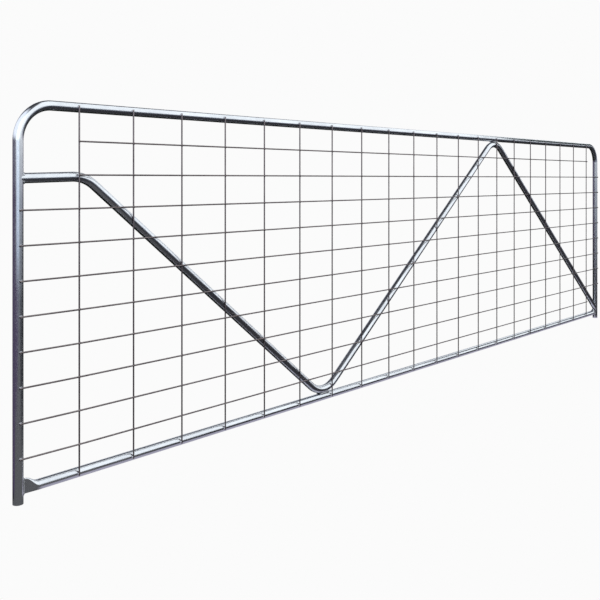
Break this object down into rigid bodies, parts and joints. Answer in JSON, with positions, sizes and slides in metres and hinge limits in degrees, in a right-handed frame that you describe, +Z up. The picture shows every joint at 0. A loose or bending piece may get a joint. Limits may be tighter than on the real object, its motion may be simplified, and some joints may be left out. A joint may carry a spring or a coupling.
{
  "type": "livestock panel gate",
  "caption": "Long low field gate leaf: bent round-tube frame, flattened-end bottom rail, zig-zag tube stay and welded wire mesh with an open latch corner.",
  "frame": {"origin": "centre of the hinge stile's open foot, on the stile's axis, at the level that both feet stand on", "axes": "+X along the leaf from the latch stile to the hinge stile, +Y away from the mesh side, +Z up the hinge stile"},
  "size_m": [4.21, 0.04, 1.145],
  "materials": {
    "galvanised_tube": "satin hot-dip galvanised",
    "weld": "satin, under zinc",
    "galvanised_wire": "satin galvanised"
  },
  "bodies": {
    "root": {"top_rail": "galvanised_tube", "latch_corner": "galvanised_tube", "hinge_corner": "galvanised_tube", "latch_stile": "galvanised_tube", "hinge_stile": "galvanised_tube", "bottom_rail": "galvanised_tube", "stay_level_run": "galvanised_tube", "stay_elbow": "galvanised_tube", "stay_leg_1": "galvanised_tube", "stay_low_bend": "galvanised_tube", "stay_leg_2": "galvanised_tube", "stay_top_bend": "galvanised_tube", "stay_leg_3": "galvanised_tube", "rail_weld_latch": "weld", "rail_weld_hinge": "weld", "stay_weld_latch": "weld", "stay_weld_hinge": "weld", "stay_weld_top_rail": "weld", "stay_weld_bottom_rail": "weld", "wire_welds_top_rail": "weld", "wire_welds_bottom_rail": "weld", "wire_welds_latch_stile": "weld", "wire_welds_hinge_stile": "weld", "wire_weld_stay": "weld", "upright_wire_01": "galvanised_wire", "upright_wire_02": "galvanised_wire", "upright_wire_03": "galvanised_wire", "upright_wire_04": "galvanised_wire", "upright_wire_05": "galvanised_wire", "upright_wire_06": "galvanised_wire", "upright_wire_07": "galvanised_wire", "upright_wire_08": "galvanised_wire", "upright_wire_09": "galvanised_wire", "upright_wire_10": "galvanised_wire", "upright_wire_11": "galvanised_wire", "upright_wire_12": "galvanised_wire", "upright_wire_13": "galvanised_wire", "upright_wire_14": "galvanised_wire", "upright_wire_15": "galvanised_wire", "upright_wire_16": "galvanised_wire", "upright_wire_17": "galvanised_wire", "upright_wire_18": "galvanised_wire", "upright_wire_19": "galvanised_wire", "upright_wire_20": "galvanised_wire", "level_wire_01": "galvanised_wire", "level_wire_02": "galvanised_wire", "level_wire_03": "galvanised_wire", "level_wire_04": "galvanised_wire", "level_wire_05": "galvanised_wire", "level_wire_06": "galvanised_wire", "level_wire_07": "galvanised_wire", "level_wire_08": "galvanised_wire", "level_wire_09": "galvanised_wire", "level_wire_10": "galvanised_wire"}
  },
  "joints": []
}
